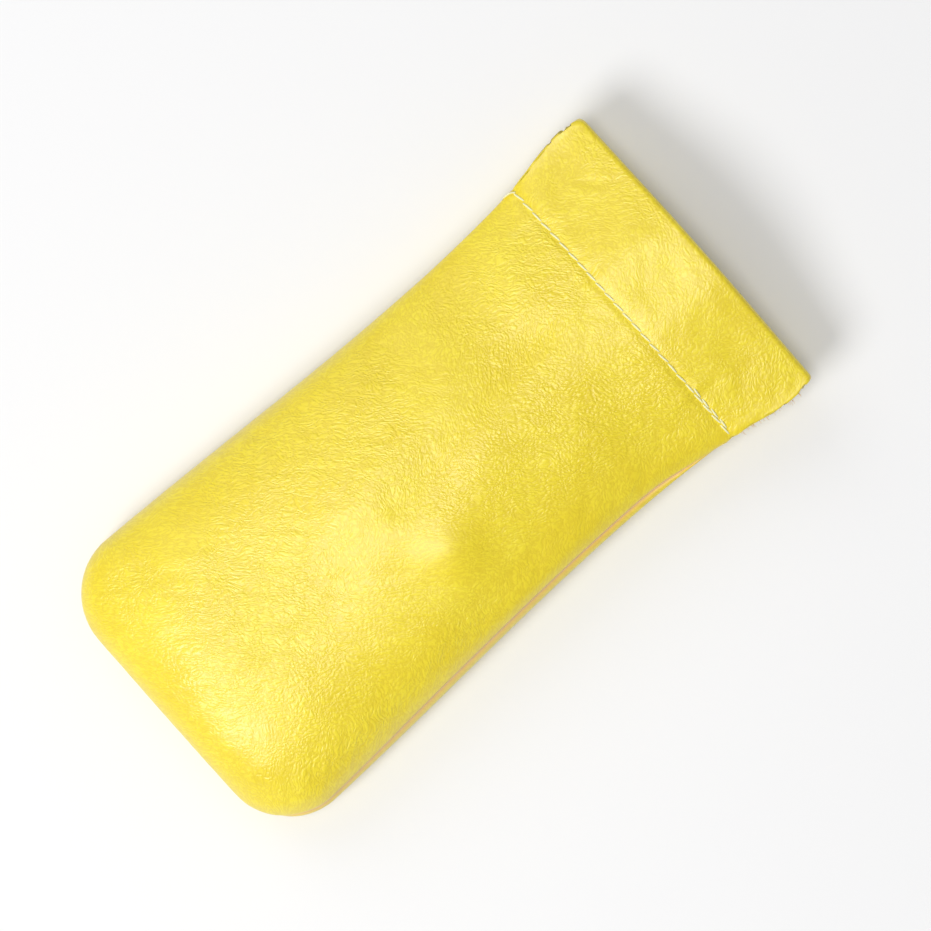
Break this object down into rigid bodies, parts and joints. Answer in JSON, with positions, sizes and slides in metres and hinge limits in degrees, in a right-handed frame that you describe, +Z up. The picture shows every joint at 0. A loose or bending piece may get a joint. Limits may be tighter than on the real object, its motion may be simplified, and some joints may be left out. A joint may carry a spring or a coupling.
{
  "type": "soft glasses pouch",
  "caption": "Soft leather glasses pouch lying flat, with a stitched hem at its mouth that holds a spring steel frame: squeezing the ends opens the mouth.",
  "frame": {"origin": "centre of the bounding box on the surface that the pouch lies on", "axes": "+Y from the closed end to the mouth, +X across the pouch to its right, +Z up from the back panel to the front panel"},
  "size_m": [0.09, 0.181, 0.0326],
  "materials": {
    "leather": "semi-gloss, fine pebbled grain",
    "lining": "napped suede",
    "spring_steel": "rolled spring steel",
    "thread": "twisted polyester thread"
  },
  "bodies": {
    "root": {"front_panel": "leather", "back_panel": "leather", "front_lining": "lining", "back_lining": "lining", "front_topstitch": "thread", "back_topstitch": "thread", "seam_thread": "thread"},
    "back_mouth": {"back_strip_middle": "spring_steel", "back_hem_middle": "leather"},
    "back_left": {"back_strip_left": "spring_steel", "back_hem_left": "leather", "hinge_pin_left": "spring_steel"},
    "back_right": {"back_strip_right": "spring_steel", "back_hem_right": "leather", "hinge_pin_right": "spring_steel"},
    "front_left": {"front_strip_left": "spring_steel", "front_hem_left": "leather"},
    "front_right": {"front_strip_right": "spring_steel", "front_hem_right": "leather"},
    "front_mouth": {"front_strip_middle": "spring_steel", "front_hem_middle": "leather"}
  },
  "joints": [
    {"name": "left_pin_hinge", "type": "hinge", "parent": "back_left", "child": "front_left", "pos_m": [-0.04213, 0.0815, 0.0175], "axis": [0, -1, 0], "range_deg": [-25, 22], "stiffness_Nm_per_rad": 0.03, "springref_deg": -25},
    {"name": "right_pin_hinge", "type": "hinge", "parent": "back_right", "child": "front_right", "pos_m": [0.04213, 0.0815, 0.0175], "axis": [0, 1, 0], "range_deg": [-25.2, 22.2]},
    {"name": "back_flex_left", "type": "hinge", "parent": "back_mouth", "child": "back_left", "pos_m": [-0.0095, 0.0815, 0.00852], "axis": [0, 1, 0], "range_deg": [-12.6, 11.1]},
    {"name": "back_flex_right", "type": "hinge", "parent": "back_mouth", "child": "back_right", "pos_m": [0.0095, 0.0815, 0.00852], "axis": [0, -1, 0], "range_deg": [-12.6, 11.1]},
    {"name": "back_mouth_bow", "type": "slide", "parent": "root", "child": "back_mouth", "axis": [0, 0, -1], "range_m": [-0.0072, 0.0063]},
    {"name": "front_mouth_bow", "type": "slide", "parent": "root", "child": "front_mouth", "axis": [0, 0, 1], "range_m": [-0.0072, 0.0063]}
  ],
  "couplings": [
    {"joint": "right_pin_hinge", "follows": "left_pin_hinge", "ratio": 1},
    {"joint": "back_flex_left", "follows": "left_pin_hinge", "ratio": 0.5},
    {"joint": "back_flex_right", "follows": "left_pin_hinge", "ratio": 0.5},
    {"joint": "back_mouth_bow", "follows": "left_pin_hinge", "m_per_rad": 0.01625},
    {"joint": "front_mouth_bow", "follows": "left_pin_hinge", "m_per_rad": 0.01625}
  ]
}
